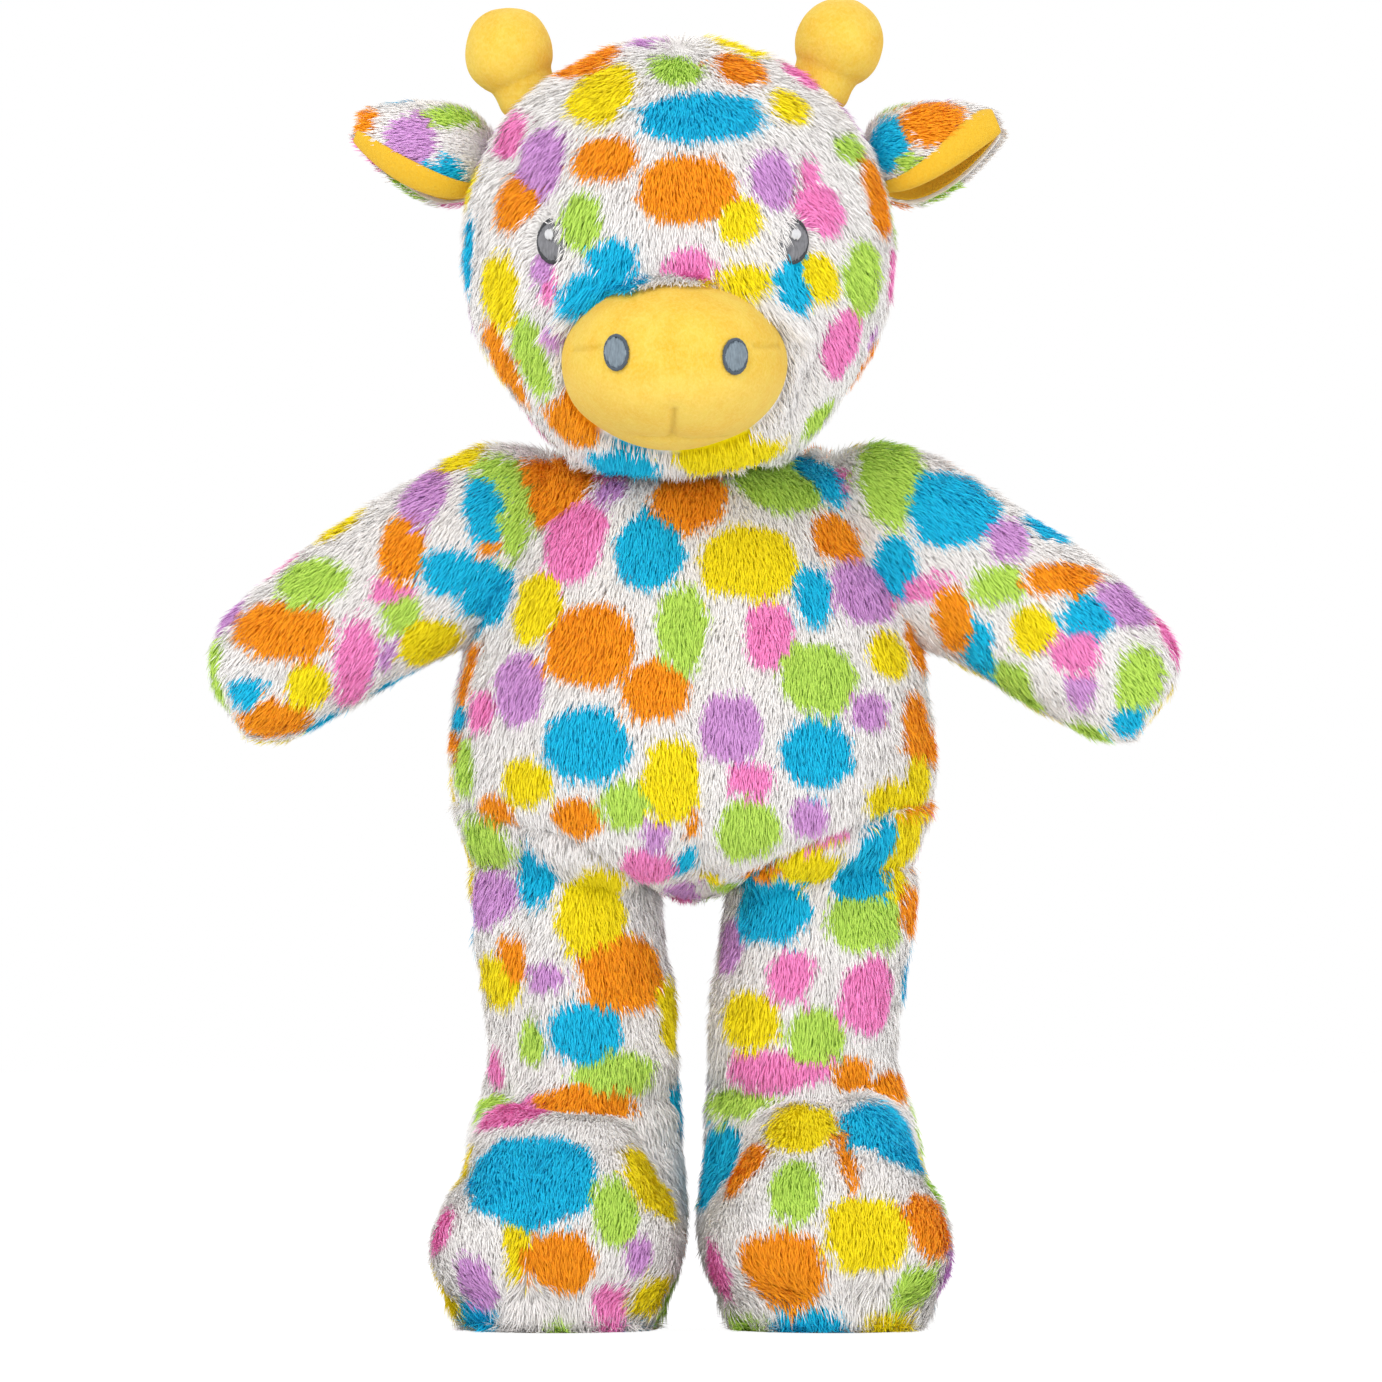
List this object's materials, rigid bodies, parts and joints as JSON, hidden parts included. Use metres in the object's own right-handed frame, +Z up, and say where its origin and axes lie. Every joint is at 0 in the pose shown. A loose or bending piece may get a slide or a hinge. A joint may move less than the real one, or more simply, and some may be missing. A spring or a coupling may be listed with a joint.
{
  "type": "plush giraffe",
  "caption": "Stuffed standing giraffe toy of spotted long-pile plush, with limbs that swing and stay, and sprung head, ears, horns and tail.",
  "frame": {"origin": "on the floor under the middle of the toy's box, between the soles", "axes": "+Z up from soles to horns, +X to the toy's own left, -Y the way that the toy faces"},
  "size_m": [0.3122, 0.1816, 0.4264],
  "materials": {
    "spotted_plush": "long-pile plush, off-white with coloured spots",
    "yellow_velboa": "short-pile velboa",
    "fibre_filling": "loose polyester fibre",
    "grey_thread": "satin-stitched embroidery thread",
    "blue_grey_thread": "satin-stitched embroidery thread",
    "white_thread": "satin-stitched embroidery thread"
  },
  "bodies": {
    "torso": {"body_skin": "spotted_plush", "body_stuffing": "fibre_filling"},
    "head": {"head_skin": "spotted_plush", "head_stuffing": "fibre_filling", "snout_skin": "yellow_velboa", "snout_stuffing": "fibre_filling", "eye_left": "grey_thread", "eye_right": "grey_thread", "eye_glint_left": "white_thread", "eye_glint_right": "white_thread", "nostril_left": "blue_grey_thread", "nostril_right": "blue_grey_thread"},
    "ossicone_left": {"ossicone_left": "yellow_velboa", "ossicone_stuffing_left": "fibre_filling"},
    "ossicone_right": {"ossicone_right": "yellow_velboa", "ossicone_stuffing_right": "fibre_filling"},
    "ear_left": {"ear_left": "spotted_plush", "ear_lining_left": "yellow_velboa"},
    "ear_right": {"ear_right": "spotted_plush", "ear_lining_right": "yellow_velboa"},
    "arm_left": {"arm_left": "spotted_plush", "arm_stuffing_left": "fibre_filling"},
    "arm_right": {"arm_right": "spotted_plush", "arm_stuffing_right": "fibre_filling"},
    "leg_left": {"leg_left": "spotted_plush", "leg_stuffing_left": "fibre_filling", "sole_left": "yellow_velboa"},
    "leg_right": {"leg_right": "spotted_plush", "leg_stuffing_right": "fibre_filling", "sole_right": "yellow_velboa"},
    "tail": {"tail": "spotted_plush", "tail_tuft": "spotted_plush"}
  },
  "joints": [
    {"name": "neck_turn", "type": "hinge", "parent": "torso", "child": "head", "pos_m": [0, 0.0156, 0.28], "axis": [0, 0, 1], "range_deg": [-15, 15], "stiffness_Nm_per_rad": 0.06},
    {"name": "ossicone_left_bend", "type": "hinge", "parent": "head", "child": "ossicone_left", "pos_m": [0.03904, 0.0056, 0.39406], "axis": [0, -1, 0], "range_deg": [-10, 10], "stiffness_Nm_per_rad": 0.02},
    {"name": "ossicone_right_bend", "type": "hinge", "parent": "head", "child": "ossicone_right", "pos_m": [-0.05104, 0.0056, 0.39116], "axis": [0, 1, 0], "range_deg": [-10, 10], "stiffness_Nm_per_rad": 0.02},
    {"name": "ear_left_flap", "type": "hinge", "parent": "head", "child": "ear_left", "pos_m": [0.05497, 0.0146, 0.36787], "axis": [0, -1, 0], "range_deg": [-12, 12], "stiffness_Nm_per_rad": 0.02},
    {"name": "ear_right_flap", "type": "hinge", "parent": "head", "child": "ear_right", "pos_m": [-0.06397, 0.0146, 0.36787], "axis": [0, 1, 0], "range_deg": [-12, 12], "stiffness_Nm_per_rad": 0.02},
    {"name": "arm_left_raise", "type": "hinge", "parent": "torso", "child": "arm_left", "pos_m": [0.06, 0.0116, 0.256], "axis": [0, -1, 0], "range_deg": [-12, 65]},
    {"name": "arm_right_raise", "type": "hinge", "parent": "torso", "child": "arm_right", "pos_m": [-0.06, 0.0116, 0.256], "axis": [0, 1, 0], "range_deg": [-12, 65]},
    {"name": "leg_left_forward", "type": "hinge", "parent": "torso", "child": "leg_left", "pos_m": [0.0405, 0.0076, 0.124], "axis": [-1, 0, 0], "range_deg": [-12, 80]},
    {"name": "leg_right_forward", "type": "hinge", "parent": "torso", "child": "leg_right", "pos_m": [-0.0405, 0.0076, 0.124], "axis": [-1, 0, 0], "range_deg": [-12, 80]},
    {"name": "tail_lift", "type": "hinge", "parent": "torso", "child": "tail", "pos_m": [0, 0.0649, 0.19701], "axis": [1, 0, 0], "range_deg": [0, 40], "stiffness_Nm_per_rad": 0.004}
  ]
}
